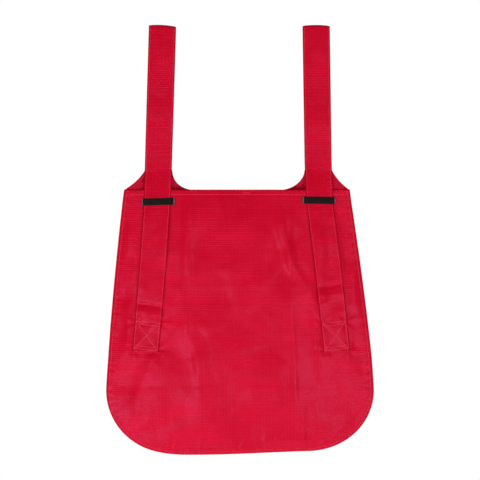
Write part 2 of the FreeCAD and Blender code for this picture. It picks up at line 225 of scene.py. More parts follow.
def horn_curve():
    """Outer edge of the right horn, from the strap down to the side seam, slightly hollow."""
    top_x = drawn_x(HORN_H) + STRAP_W / 2
    share = np.linspace(0, 1, 20)[:, None]
    line = (top_x, HORN_H) + share * np.array([HEM_HALF - top_x, HEM_H - HORN_H])
    return line - 4 * HORN_HOLLOW * share * (1 - share)


# ---- what the folded and worn cloth shows ----
def nearest(x, h, path):
    """Distance to a path of (x, height), how far along it that is, and whether it is on the path's right."""
    along = arc_length(np.asarray(path))
    far, at, right = np.full(np.shape(x), 1e9), np.zeros(np.shape(x)), np.zeros(np.shape(x), bool)
    for (ax, ah), (bx, bh), start, end in zip(path, path[1:], along, along[1:]):
        run = end - start
        t = np.clip(((x - ax) * (bx - ax) + (h - ah) * (bh - ah)) / run ** 2, 0, 1)
        gap = np.hypot(x - ax - t * (bx - ax), h - ah - t * (bh - ah))
        closer = gap < far
        at = np.where(closer, start + t * run, at)
        right = np.where(closer, (x - ax) * (bh - ah) > (h - ah) * (bx - ax), right)
        far = np.minimum(far, gap)
    return far, at, right


def ridge(x, h, path, width, height, sharp=False):
    """A crease or a soft roll along a path, fading at its ends. A crease may have one width on the left
    of its path and another on the right."""
    far, at, right = nearest(x, h, path)
    share = at / arc_length(np.asarray(path))[-1]
    width = np.where(right, width[1], width[0]) if isinstance(width, tuple) else width
    side = np.exp(-far / width) if sharp else np.exp(-(far / width) ** 2)
    return height * MM * side * np.sin(np.pi * np.clip(share, 0.02, 0.98)) ** 0.5


def rough(x, h, scale, seed):
    """Smooth noise over the cloth, about -1 to 1."""
    shape = np.shape(x)
    flat = zip(np.ravel(x), np.ravel(h))
    return np.array([noise.noise(Vector((a / scale, b / scale, seed))) for a, b in flat]).reshape(shape)


RIGHT_FOLD = ((0.090, -0.09), (0.087, 0.08), (0.083, 0.15), (0.078, 0.27), (0.076, 0.50))

# Each fold is its path, its width, its height in mm and, if it is sharp, True. These long ones come from
# lying folded in the pocket, and the straps don't flatten them.
LONG_CREASES = (
    (((-0.061, -0.08), (-0.063, 0.05), (-0.0635, 0.115), (-0.066, 0.14), (-0.077, 0.195), (-0.086, 0.26),
      (-0.090, 0.46)), (0.012, 0.060), 2.1, True),
    (RIGHT_FOLD, (0.050, 0.034), 4.2, True),
    (RIGHT_FOLD, (0.010, 0.004), 1.1, True),
)

FRONT_CREASES = (
    (((-0.26, 0.104), (0.0, 0.110), (0.27, 0.105)), 0.008, -0.55, True),
    (((-0.25, 0.256), (0.0, 0.262), (0.25, 0.257)), 0.009, 0.7, True),
    # soft rolls, left of the middle
    (((-0.150, 0.035), (-0.158, 0.078), (-0.148, 0.108), (-0.134, 0.147), (-0.118, 0.170)),
     (0.015, 0.036), 3.8),
    (((-0.100, 0.270), (-0.084, 0.205), (-0.076, 0.150)), 0.009, 2.4),
    (((-0.077, 0.410), (-0.080, 0.290)), 0.009, 3.4),
    (((-0.063, 0.105), (-0.070, 0.185)), (0.006, 0.010), 1.6),
    (((-0.168, 0.240), (-0.176, 0.150)), 0.009, 1.8),
    (((-0.168, 0.372), (-0.182, 0.290)), 0.008, 1.5),
    (((-0.036, 0.245), (-0.050, 0.205), (-0.046, 0.170)), 0.010, 1.1),
    # and right of it
    (((0.056, 0.410), (0.064, 0.345), (0.082, 0.290), (0.104, 0.255)), 0.008, 3.6),
    (((0.112, 0.235), (0.124, 0.180), (0.128, 0.120)), 0.010, 2.6),
    (((0.044, 0.160), (0.070, 0.122)), 0.009, 1.1),
    (((0.098, 0.090), (0.096, 0.004)), 0.005, 1.5),
    (((0.176, 0.330), (0.184, 0.220)), 0.009, 1.6),
    (((-0.020, 0.300), (0.010, 0.215)), 0.014, 1.2),
    (((0.010, 0.120), (0.035, 0.060)), 0.012, 1.2),
)

STRAP_CREASES = {
    "left": (
        (((-0.112, 0.372), (-0.116, 0.300)), 0.009, 1.82),
        (((-0.128, 0.232), (-0.136, 0.190)), 0.010, 1.96),
        (((-0.150, 0.300), (-0.152, 0.250)), 0.008, 1.12),
        (((-0.175, 0.236), (-0.145, 0.233), (-0.115, 0.228)), 0.004, -1.82),
        (((-0.175, 0.222), (-0.145, 0.219), (-0.115, 0.214)), 0.007, 1.54),
    ),
    "right": (
        (((0.128, 0.345), (0.122, 0.270)), 0.010, 1.96),
        (((0.118, 0.262), (0.134, 0.236)), 0.008, 1.68),
        (((0.150, 0.230), (0.154, 0.190)), 0.010, 1.68),
        (((0.105, 0.256), (0.140, 0.262), (0.175, 0.268)), 0.004, -1.82),
        (((0.105, 0.242), (0.140, 0.247), (0.175, 0.253)), 0.007, 1.54),
    ),
}


def creases(face, folds, x, h):
    """The folds of a panel; the back has nearly the same ones, seen through the bag."""
    if face == BACK:
        x = -x
        h = h * 0.97 + 0.008
    return sum(ridge(x, h, *fold) for fold in folds)


# Small pleats above the bottom edge, as (x, lean, height of the pleat).
PLEATS = (
    (-0.062, 0.05, 0.048), (-0.003, -0.55, 0.026), (-0.003, 0.45, 0.034), (0.034, -0.45, 0.030),
    (0.034, 0.2, 0.036), (0.047, 0.4, 0.042), (0.094, 0.2, 0.040), (-0.105, 0.35, 0.030), (0.128, -0.4, 0.028),
)


def seam_puckers(face, x, h):
    """Ripples that run out from the seam, and small pleats above the bottom edge."""
    far, at, _ = nearest(x, h, resample(seam_line(), 400))
    wobble = rough(at, np.zeros_like(at), 0.03, 5.0 + face)
    strength = 0.6 + 0.6 * rough(at, np.zeros_like(at), 0.05, 9.0 + face)
    ripple = np.sin(2 * np.pi * at / 0.0125 + 8 * wobble) * strength
    groove = -0.45 * MM * np.exp(-((far - STITCH_IN) / (1.7 * MM)) ** 2)
    puckers = 0.50 * MM * ripple * np.exp(-((far - STITCH_IN) / (7 * MM)) ** 2)
    for px, lean, tall in PLEATS:
        pleat = np.exp(-((x - px - lean * h) / (2.1 * MM)) ** 2) * smooth((h - 2 * MM) / (4 * MM))
        puckers = puckers + 1.7 * MM * pleat * smooth((tall - h) / tall)
    return (groove + puckers) * smooth(far / (2.5 * MM)), far


def strap_shade(x, h):
    """1 under a strap and 0 away from it: the cloth lies flatter under the straps."""
    total, fade = 0, 8 * MM
    for side in SIDES:
        reach = np.abs(x - strap_x(side, h))
        total = total + smooth((STRAP_W / 2 + fade - reach) / fade) * smooth((h - TAIL_H + fade) / fade)
    return np.clip(total, 0, 1)


def box_puckers(x, h):
    """Cloth drawn together at the corners of the two box stitches."""
    total = 0
    for side in SIDES:
        for up in (-1, 1):
            for out in (-1, 1):
                ch = BOX_H + up * BOX_TALL / 2
                cx = strap_x(side, ch) + out * BOX_W / 2
                r = np.hypot(x - cx, h - ch)
                turn = np.arctan2(h - ch, x - cx)
                rays = np.cos(5 * turn + 1.7 * up + out + 2.1 * SIDES[side])
                total = total + 1.1 * MM * rays * np.exp(-(r / (12 * MM)) ** 1.5) * smooth(r / (5 * MM))
    return total


def relief(face, x, h):
    """How far the real cloth stands off the smooth shape, outwards, and the distance to the seam."""
    puckers, far = seam_puckers(face, x, h)
    seen_x, seen_h = askew(x, h)
    calm = smooth((far - 3 * MM) / (18 * MM)) * (1 - 0.4 * smooth((h - 0.36) / 0.05))
    waves = 2.2 * MM * rough(x, h, 0.095, 1.0 + face) + 2.1 * MM * rough(x, h, 0.045, 3.0 + face)
    waves = waves + 0.5 * MM * rough(x, h, 0.017, 7.0 + face)
    waves = waves - 1.8 * MM * np.abs(rough(x, h, 0.075, 15.0 + face))
    waves = waves + creases(face, FRONT_CREASES, seen_x, seen_h)
    flat = 1 - 0.75 * strap_shade(seen_x, seen_h) if face == FRONT else 1
    bend = 1 if face == FRONT else -0.5
    total = (waves * flat + bend * creases(face, LONG_CREASES, seen_x, seen_h)) * calm + puckers
    if face == FRONT:
        total = total + box_puckers(seen_x, seen_h)
    hem = smooth((h - HEM_H + HEM_TALL + 0.2 * MM) / (1.2 * MM)) * 0.3 * MM
    return total + hem, far


# ---- mesh helpers ----
def points_at(x, y, h):
    """Arrays of x, y and height as one array of points."""
    return np.stack(np.broadcast_arrays(x, y, BOTTOM_Z + h), axis=-1)


def add_object(name, data):
    thing = bpy.data.objects.new(name, data)
    bpy.context.scene.collection.objects.link(thing)
    return thing


def new_mesh(name, points, faces, flat_map, slot):
    """A smooth mesh with its flat map, in one of the slots of the material table."""
    mesh = bpy.data.meshes.new(name)
    mesh.from_pydata([tuple(p) for p in points], [], faces)
    mesh.validate()
    mesh.polygons.foreach_set("use_smooth", [True] * len(mesh.polygons))
    layer = mesh.uv_layers.new(name="flat")
    corner = np.zeros(len(mesh.loops), int)
    mesh.loops.foreach_get("vertex_index", corner)
    layer.data.foreach_set("uv", flat_map[corner].astype(np.float32).ravel())
    mesh.update()
    piece = add_object(name, mesh)
    mesh.materials.append(MATERIALS[slot])
    return piece


def grid_faces(rows, columns, first=0, flip=False, loop=False):
    faces = []
    for i in range(rows - 1):
        for j in range(columns if loop else columns - 1):
            a = first + i * columns + j
            b = first + i * columns + (j + 1) % columns
            quad = (a, b, b + columns, a + columns)
            faces.append(quad[::-1] if flip else quad)
    return faces


def rim_faces(rows, columns, offset):
    """Faces that join the edges of two grids, the second one starting at offset."""
    edge = list(range(columns)) + [i * columns + columns - 1 for i in range(1, rows)]
    edge += [(rows - 1) * columns + j for j in range(columns - 2, -1, -1)]
    edge += [i * columns for i in range(rows - 2, 0, -1)]
    return [(b, a, a + offset, b + offset) for a, b in zip(edge, edge[1:] + edge[:1])]


def sheet_grid(name, outer, inner, flat_map, slot="shell_cloth"):
    """A thin closed sheet from two grids of points, each rows x columns x 3."""
    rows, columns = outer.shape[:2]
    count = rows * columns
    points = np.concatenate([outer.reshape(-1, 3), inner.reshape(-1, 3)])
    faces = grid_faces(rows, columns) + grid_faces(rows, columns, count, True) + rim_faces(rows, columns, count)
    uv = np.concatenate([flat_map.reshape(-1, 2)] * 2)
    return new_mesh(name, points, faces, uv, slot)


def band_tube(name, rings, flat_map, slot):
    """A closed tube from rings of points, rows x ring x 3, with its two ends filled."""
    rows, ring = rings.shape[:2]
    faces = grid_faces(rows, ring, loop=True)
    faces += [tuple(range(ring))[::-1], tuple((rows - 1) * ring + k for k in range(ring))]
    return new_mesh(name, rings.reshape(-1, 3), faces, flat_map.reshape(-1, 2), slot)


# ---- the two panels ----
def coons(bottom, top, left, right):
    """A net of points inside four edges, each an array of (x, height)."""
    u = np.linspace(0, 1, len(bottom))[None, :, None]
    v = np.linspace(0, 1, len(left))[:, None, None]
    ruled = (1 - v) * bottom[None] + v * top[None] + (1 - u) * left[:, None] + u * right[:, None]
    corners = (1 - u) * (1 - v) * bottom[0] + u * (1 - v) * bottom[-1] + (1 - u) * v * top[0] + u * v * top[-1]
    return ruled - corners


def panel_net(face):
    """The net of a panel before it is set askew, from its bottom edge up to its rim."""
    if face == FRONT:
        columns = int(2 * HEM_HALF / CELL) // 2 * 2
        top = np.stack([np.linspace(-HEM_HALF, HEM_HALF, columns + 1), np.full(columns + 1, HEM_H)], axis=1)
    else:
        neck, horn = neck_curve(), horn_curve()
        rim = np.array([neck[-1], horn[0]])
        parts = [resample(line, max(2, round(arc_length(line)[-1] / CELL))) for line in (neck, rim, horn)]
        top = mirrored(np.concatenate([parts[0], parts[1][1:], parts[2][1:]]))
        columns = len(top) - 1
    right = resample(side_line(HEM_H), int(0.39 / CELL))
    return coons(resample(bottom_line(), columns), top, right * (-1, 1), right)


def panel(face):
    """A panel as a thin sheet, bulging and creased, whose rim turns in at the seam."""
    net = panel_net(face)
    x, h = net[..., 0], net[..., 1]
    off, far = relief(face, x, h)
    edge = np.sqrt(1 - np.clip(1 - far / RIM_ROUND, 0, 1) ** 2) * 0.9 + 0.1
    out = (depth(x, h) + PANEL_T) * edge + off
    thick = CLOTH_T * np.clip(far / RIM_ROUND, 0.2, 1)
    px, ph = askew(x, h)
    outer, inner = points_at(px, face * out, ph), points_at(px, face * (out - thick), ph)
    if face == BACK:
        outer, inner = outer[:, ::-1], inner[:, ::-1]
        net = net[:, ::-1]
    node = "front_panel" if face == FRONT else "back_panel"
    piece = sheet_grid(node + "_cloth", outer, inner, net)
    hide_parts(node)
    return piece


def surface_of(piece):
    """What land() meets: a search tree of the faces of a piece."""
    mesh = piece.data
    return BVHTree.FromPolygons([v.co[:] for v in mesh.vertices], [p.vertices[:] for p in mesh.polygons])


def land(tree, face, x, z):
    """Where a line from outside meets a surface, as its y and its outward normal; y is 0 if it misses."""
    hit, normal, _, _ = tree.ray_cast(Vector((x, face * 0.2, z)), Vector((0, -face, 0)))
    if hit is None:
        return 0.0, Vector((0, face, 0))
    return hit.y, normal if normal.y * face > 0 else -normal


# ---- thread ----
def thread_template():
    """One stitch along +X from -0.5 to 0.5, with a unit radius, as rings and faces."""
    rings = []
    for along, radius in ((-0.5, 0.25), (-0.42, 0.75), (-0.2, 1.0), (0.2, 1.0), (0.42, 0.75), (0.5, 0.25)):
        for k in range(6):
            turn = math.radians(60 * k)
            rings.append((along, radius * math.cos(turn), radius * math.sin(turn)))
    faces = grid_faces(6, 6, loop=True)
    faces += [tuple(range(6))[::-1], tuple(30 + k for k in range(6))]
    return np.array(rings), faces


def stitches(name, runs, node, radius=THREAD_R, slot="thread"):
    """Every stitch is a short length of thread; runs holds their (start, end, normal)."""
    template, template_faces = thread_template()
    points, faces, uv = [], [], []
    for start, end, normal in runs:
        along = end - start
        up = (normal - normal.project(along)).normalized()
        side = up.cross(along.normalized())
        base = len(points) * len(template)
        middle = (start + end) / 2
        frame_of = np.array([along[:], (side * radius)[:], (up * radius * 0.8)[:]])
        points.append(template @ frame_of + np.array(middle[:]))
        uv.append(template[:, :2] * (along.length, radius) + (middle.x, middle.z))
        faces += [tuple(base + k for k in face) for face in template_faces]
    piece = new_mesh(name, np.concatenate(points), faces, np.concatenate(uv), slot)
    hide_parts(node)
    return piece


def row_of_stitches(place, length, lift=0.15 * MM):
    """Stitches along place(distance) -> (point, normal), evenly spread over a length."""
    count = max(1, round(length / (STITCH_LONG + STITCH_GAP)))
    step = length / count
    share = STITCH_LONG / (STITCH_LONG + STITCH_GAP)
    found = []
    for i in range(count):
        a, na = place(i * step + step * (1 - share) / 2)
        b, nb = place(i * step + step * (1 + share) / 2)
        found.append((a + na * lift, b + nb * lift, (na + nb).normalized()))
    return found


def place_on(tree, face, line):
    """place() for a line of (x, height) on whatever the tree holds, and the line's length."""
    along = arc_length(line)

    def place(distance):
        x = np.interp(distance, along, line[:, 0])
        z = BOTTOM_Z + np.interp(distance, along, line[:, 1])
        y, normal = land(tree, face, x, z)
        return Vector((x, y, z)), normal

    return place, along[-1]


def panel_place(tree, face, line):
    """The same for a line given before the bag is set askew."""
    return place_on(tree, face, np.stack(askew(line[:, 0], line[:, 1]), axis=1))


# ---- straps ----
def leg_y(h):
    """From the middle plane to the centre of a strap's free leg, which bows outwards on its way up."""
    foot = depth(STRAP_LINE[1][1], HORN_H) - LAY - STRAP_T / 2
    share = np.clip((h - HINGE_H) / (TOP_H - LOOP_GAP - HINGE_H), 0, 1)
    return foot + (LOOP_GAP - foot) * ((1 + LEG_BOW) * share - LEG_BOW * share ** 2)


def strap_track():
    """Stations along a strap, as (height, kind, face, offset). On the fold, face is the turn in degrees; on a
    panel, offset is the strap's distance from the panel's inner face."""
    fold_h = TOP_H - LOOP_GAP - STRAP_T / 2
    step = CELL * 0.9
    lying, sewn_in = PANEL_T + STRAP_LAY + STRAP_T / 2, -LAY - STRAP_T / 2
    track = []
    for h in np.arange(TAIL_H, HORN_H, step):
        share = smooth((h - HEM_H) / (HORN_H - HEM_H))
        track.append((h, "panel", FRONT, lying + (sewn_in - lying) * share))
    track += [(h, "leg", FRONT, 0.0) for h in np.arange(HORN_H, fold_h, step)]
    track += [(fold_h, "fold", turn, 0.0) for turn in np.linspace(0, 180, 13)]
    track += [(h, "leg", BACK, 0.0) for h in np.arange(fold_h, HORN_H, -step)[1:]]
    track += [(h, "panel", BACK, sewn_in) for h in np.linspace(HORN_H, ANCHOR_H, 14)[1:]]
    return track


def strap_sag(side, h, across):
    """How far the strap on the front stands away from the bag, most along its outer edge."""
    free = smooth((h - BOX_H - BOX_TALL / 2) / 0.02) * smooth((KEEPER_LOW - h) / 0.02)
    roll = 0.5 * MM + 0.3 * MM * np.sin((h - 0.21) * 42 + (0.8 if side == "left" else 2.2))
    outer_edge = smooth(SIDES[side] * across / (STRAP_W / 2))
    return free * (roll + 1.3 * MM * outer_edge)


def on_front(side, x, h, across, off, wave, front_tree):
    """y and waves of a strap from its tail, on the creased cloth, up over the hem, where it comes inwards."""
    y = FRONT * (depth(x, h) + off)
    lies = 1 - smooth((h - HEM_H + 14 * MM) / (10 * MM))
    if lies > 0:
        wall = np.array([land(front_tree, FRONT, a, BOTTOM_Z + h)[0] for a in x])
        y = y + lies * (wall + depth(x, h) + PANEL_T)
    y = y - strap_sag(side, h, across)
    for crease in STRAP_CREASES[side]:
        y = y - ridge(x, np.full_like(x, h), *crease)
    pressed = smooth((BOX_H + BOX_TALL / 2 + 6 * MM - h) / (8 * MM))
    wave = wave * (1 - 0.5 * pressed) * (1 - 0.8 * smooth((h - HEM_H) / (20 * MM)))
    near_keeper = smooth((14 * MM - abs(h - (KEEPER_LOW + KEEPER_HIGH) / 2)) / (6 * MM))
    return y, wave * (1 - near_keeper)


def strap_rings(side, front_tree):
    """Rings round the folded strap along its whole length, its outer face for the stitches, its flat map."""
    sx = SIDES[side]
    shares = np.linspace(-1, 1, 25)
    half = STRAP_W / 2
    across = shares * half
    edge = np.sqrt(np.clip(1 - np.abs(shares) ** 14, 0, 1))
    bead = 1 + 0.25 * np.exp(-((np.abs(shares) - 0.94) / 0.03) ** 2)
    groove = -0.12 * MM * np.exp(-((np.abs(shares) - (1 - STRAP_STITCH_IN / half)) / 0.035) ** 2)
    thick = STRAP_T / 2 * edge * bead
    tilt = -1.1 * MM if side == "left" else 0.0
    rings, outers, flats, run, last = [], [], [], 0.0, None
    for h, kind, face, off in strap_track():
        x = strap_x(side, h) + across
        level = np.full_like(x, h)
        wave = 0.9 * MM * rough(x, level, 0.035, 11.0 + sx) + 0.35 * MM * rough(x, level, 0.014, 13.0 + sx)
        wave = np.maximum(wave, -0.3 * MM)
        out, z = np.array([0.0, float(face), 0.0]), h
        if kind == "fold":
            turn = math.radians(face)
            out = np.array([0.0, -math.cos(turn), math.sin(turn)])
            y, z = -LOOP_GAP * math.cos(turn), h + LOOP_GAP * math.sin(turn)
            wave = wave * 0.3
        elif kind == "leg":
            free = smooth((h - HINGE_H) / 0.05)
            cup = -0.8 * MM * free * (shares ** 2 - 0.4) * math.sin(9 * (h - HINGE_H) + sx)
            y = face * leg_y(h) + face * (cup + wave * free * 1.2)
            wave = wave * 0
        elif face == FRONT:
            y, wave = on_front(side, x, h, across, off, wave, front_tree)
        else:
            y, wave = face * (depth(x, h) + off), wave * 0
        share = smooth((h - HORN_H) / (TOP_H - HORN_H)) ** 3
        droop = share * (-1.6 * MM * shares ** 2 + tilt * shares)
        base = points_at(x, y, z + droop)
        over = base + out * (thick + groove * edge + wave)[:, None]
        under = base + out * (wave - thick)[:, None]
        centre = base[len(base) // 2]
        run += 0.0 if last is None else float(np.linalg.norm(centre - last))
        last = centre
        rings.append(np.concatenate([over, under[::-1]]))
        outers.append(over)
        u = np.concatenate([across, across[::-1] + 2 * STRAP_W])
        flats.append(np.stack([u, np.full(len(u), run)], axis=1))
    return np.array(rings), np.array(outers), np.array(flats)


def strap(side, front_tree):
    """A whole strap, with its outer face for the stitches and its length."""
    rings, outers, flats = strap_rings(side, front_tree)
    # The strap gets the darker copy of the cloth, whose colour is painted shade.
    piece = band_tube(side + "_strap", rings, flats, "strap_cloth")
    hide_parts(side + "_strap_tail", side + "_handle_loop", side + "_strap_anchor")
    return piece, outers, float(flats[-1, 0, 1])


def blend_handle(piece):
    """Bake the piece's placement into its mesh and return it."""
    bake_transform(piece)
    return piece


def outer_place(outers, across):
    """place() for a line along a strap's outer face, at a share across it from -1 to 1, how far along the
    line its points are, and the points."""
    column = (across + 1) / 2 * (outers.shape[1] - 1)
    low = int(column)
    part = column - low
    line = outers[:, low] * (1 - part) + outers[:, min(low + 1, outers.shape[1] - 1)] * part
    inside = outers[:, outers.shape[1] // 2]
    along = arc_length(line)
    run = np.gradient(inside, axis=0)
    normals = np.cross(run, np.array([1.0, 0.0, 0.0]))
    normals = normals / np.linalg.norm(normals, axis=1, keepdims=True)
    if normals[0][1] > 0:
        normals = -normals

    def place(distance):
        point = Vector([float(np.interp(distance, along, line[:, k])) for k in range(3)])
        normal = Vector([float(np.interp(distance, along, normals[:, k])) for k in range(3)])
        return point, normal.normalized()

    return place, along, line


def strap_edge_stitches(side, outers):
    """Two rows of edge stitch, broken under the keeper, at the box and where the strap is sewn in."""
    runs = []
    for across in (-1, 1):
        place, along, line = outer_place(outers, across * (1 - STRAP_STITCH_IN / (STRAP_W / 2)))
        height = line[:, 2] - BOTTOM_Z
        top = int(np.argmax(height))
        front = height[:top]
        at = [float(np.interp(h, front, along[:top])) for h in
              (BOX_H + BOX_TALL / 2 + 5 * MM, KEEPER_LOW - 1 * MM, KEEPER_HIGH + 1 * MM)]
        back = height[top:][::-1]
        end = float(np.interp(HORN_H + 2 * MM, back, along[top:][::-1]))
        for low, high in ((at[0], at[1]), (at[2], end)):
            runs += row_of_stitches(lambda d, low=low: place(low + d), high - low, lift=0.05 * MM)
    piece = stitches(side + "_strap_stitches", runs, side + "_tail_edge_stitch", 0.24 * MM)
    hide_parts(side + "_loop_edge_stitch")
    return blend_handle(piece)


def box_corners(side, tall, wide, middle_h):
    """Corners of a box stitch about a strap's centre line, (x, height), from low left round."""
    low, high = middle_h - tall / 2, middle_h + tall / 2
    slope = float(strap_x(side, high) - strap_x(side, low)) / tall
    corners = []
    for h, out in ((low, -1), (low, 1), (high, 1), (high, -1)):
        corners.append((float(strap_x(side, h)) + out * wide / 2, h - out * wide / 2 * slope))
    return corners


def box_stitches(tree, face, node, corners, cross=False):
    """A box of stitches; with cross, also its diagonals and a second row inside the top and the bottom."""
    lines = list(zip(corners, corners[1:] + corners[:1]))
    if cross:
        lines += [(corners[0], corners[2]), (corners[1], corners[3])]
        inner = [(c[0] + (m[0] - c[0]) * 0.06, c[1] + (m[1] - c[1]) * 0.1)
                 for c, m in zip(corners, corners[2:] + corners[:2])]
        lines += [(inner[0], inner[1]), (inner[3], inner[2])]
    runs = []
    for a, b in lines:
        place, length = place_on(tree, face, np.array([a, b]))
        runs += row_of_stitches(place, length, lift=0.1 * MM)
    piece = stitches(node + "_thread", runs, node, 0.42 * MM)
    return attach(piece, "bag")


# ---- keepers ----
KEEPER_TURN = {"left": math.radians(1.3), "right": math.radians(-0.9)}
KEEPER_SHIFT = {"left": (-1.8 * MM, -0.7 * MM), "right": (-2.2 * MM, 1.3 * MM)}
KEEPER_W, KEEPER_T = 52 * MM, 0.9 * MM
TACK_OUT = 24.6 * MM
TACK_STITCHES = 12


def keeper(side):
    """Webbing over the strap, with its woven ribs, sewn down at both ends with bar tacks."""
    mid_x = SIDES[side] * drawn_x(KEEPER_LOW + 5.5 * MM) + KEEPER_SHIFT[side][0]
    mid_h = (KEEPER_LOW + KEEPER_HIGH) / 2 + KEEPER_SHIFT[side][1]
    turn, tall = KEEPER_TURN[side], KEEPER_HIGH - KEEPER_LOW

    def turned(a, u):
        """Distances across and up the webbing, as x and height."""
        return mid_x + a * math.cos(turn) - u * math.sin(turn), mid_h + a * math.sin(turn) + u * math.cos(turn)

    across = np.linspace(-KEEPER_W / 2, KEEPER_W / 2, 105)
    up = np.linspace(-tall / 2, tall / 2, 34)
    a, u = np.meshgrid(across, up)
    x, h = turned(a, u)
    over = smooth((STRAP_W / 2 + 2.6 * MM - np.abs(x - strap_x(side, h))) / (2.7 * MM))
    lift = depth(x, h) + PANEL_T + 0.45 * MM + over * (STRAP_LAY + STRAP_T)
    row = (u / (0.55 * MM)).round()
    rib = 0.06 * MM * np.cos(2 * np.pi * u / (1.1 * MM)) * np.cos(2 * np.pi * a / (1.3 * MM) + np.pi * row)
    selvedge = -0.25 * MM * smooth((np.abs(u) - tall / 2 + 0.7 * MM) / (0.7 * MM))
    tacked = -0.25 * MM * np.exp(-((np.abs(a) - TACK_OUT) / (1.1 * MM)) ** 2)
    outer = points_at(x, -(lift + KEEPER_T + rib + selvedge + tacked), h)
    inner = points_at(x, -(lift + 0.05 * MM - selvedge), h)
    piece = sheet_grid(side + "_keeper_webbing", outer, inner, np.stack([a, u], axis=-1), "webbing")
    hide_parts(side + "_keeper")
    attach(piece, "bag")

    own = surface_of(piece)
    runs = []
    for out in (-1, 1):
        for k in range(TACK_STITCHES):
            v = (k / (TACK_STITCHES - 1) - 0.5) * (tall - 1.6 * MM)
            ends = []
            for b in (-1, 1):
                px, ph = turned(out * TACK_OUT + b * 1.0 * MM, v + b * 0.25 * MM)
                y = land(own, FRONT, px, BOTTOM_Z + ph)[0]
                ends.append(Vector((px, y - 0.12 * MM, BOTTOM_Z + ph)))
            runs.append((ends[0], ends[1], Vector((0, -1, 0))))
    tacks = stitches(side + "_keeper_bar_tacks", runs, side + "_keeper_tacks", 0.36 * MM, "tack_thread")
    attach(tacks, "bag")
    return piece


# ---- hems, seam allowance, pocket ----
# Cross-section of a rolled hem in mm, as (down from the rim, out from the panel).
HEM_PROFILE = (
    (0.9, 0.0), (0.2, 0.03), (-0.25, -0.15), (-0.35, -0.4), (-0.25, -0.55), (0.2, -0.46), (2.5, -0.45),
    (HEM_TALL / MM, -0.45), (HEM_TALL / MM, -0.72), (2.5, -0.75), (0.5, -0.80),
)


def rolled_hem(name, face, lines, node):
    """The edge of a panel turned in and sewn down, as one strip or several."""
    points, faces, uv = [], [], []
    for line in lines:
        line = resample(line, max(4, int(arc_length(line)[-1] / CELL)))
        first = sum(len(p) for p in points)
        rings = []
        for (x, h), (nx, nh) in zip(line, unit_normals(line)):
            ring = []
            for down, out in HEM_PROFILE:
                qx, qh = x + nx * down * MM, h + nh * down * MM
                px, ph = askew(qx, qh)
                base = float(depth(qx, qh)) + PANEL_T + 0.3 * MM
                ring.append((float(px), face * (base + out * MM), BOTTOM_Z + float(ph)))
            rings.append(ring)
        ring_count = len(HEM_PROFILE)
        points.append(np.array(rings).reshape(-1, 3))
        faces += grid_faces(len(line), ring_count, first, flip=face == BACK, loop=True)
        faces.append(tuple(first + k for k in range(ring_count)))
        last = first + (len(line) - 1) * ring_count
        faces.append(tuple(last + k for k in range(ring_count))[::-1])
        round_the_edge = np.tile(np.array(HEM_PROFILE) * (0, MM), (len(line), 1))
        uv.append(np.repeat(line, ring_count, axis=0) + round_the_edge)
    piece = new_mesh(name, np.concatenate(points), faces, np.concatenate(uv), "shell_cloth")
    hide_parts(node)
    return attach(piece, "bag")


def seam_allowance():
    """The raw cloth edges closed inside the side and bottom seam."""
    outer, inner = resample(seam_line(1.2 * MM), 420), resample(seam_line(6.0 * MM), 420)
    share = np.linspace(0, 1, 6)[:, None]
    flat = outer * (1 - share[..., None]) + inner * share[..., None]
    ripple = 0.10 * MM * share * np.sin(np.arange(len(outer)) * 0.9)
    px, ph = askew(flat[..., 0], flat[..., 1])
    middle = points_at(px, ripple, ph)
    thick = np.array([0, 0.28 * MM, 0])
    piece = sheet_grid("seam_allowance", middle - thick, middle + thick, flat)
    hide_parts("perimeter_seam")
    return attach(piece, "bag")


def pocket_y(tree, x, h):
    """The pocket lies against the inside of the back panel at its edges and stands off between them."""
    px, ph = askew(x, h)
    wall = np.array([land(tree, FRONT, a, BOTTOM_Z + b)[0] for a, b in zip(px.ravel(), ph.ravel())])
    wall = wall.reshape(x.shape)
    across = 1 - np.minimum(1.0, np.abs(x) / (POCKET_W / 2)) ** 4
    up = np.clip((h - POCKET_LOW) / (0.35 * (POCKET_TOP - POCKET_LOW)), 0, 1)
    return wall - 0.6 * MM - CLOTH_T - 5.0 * MM * across * np.sin(up * np.pi / 2)


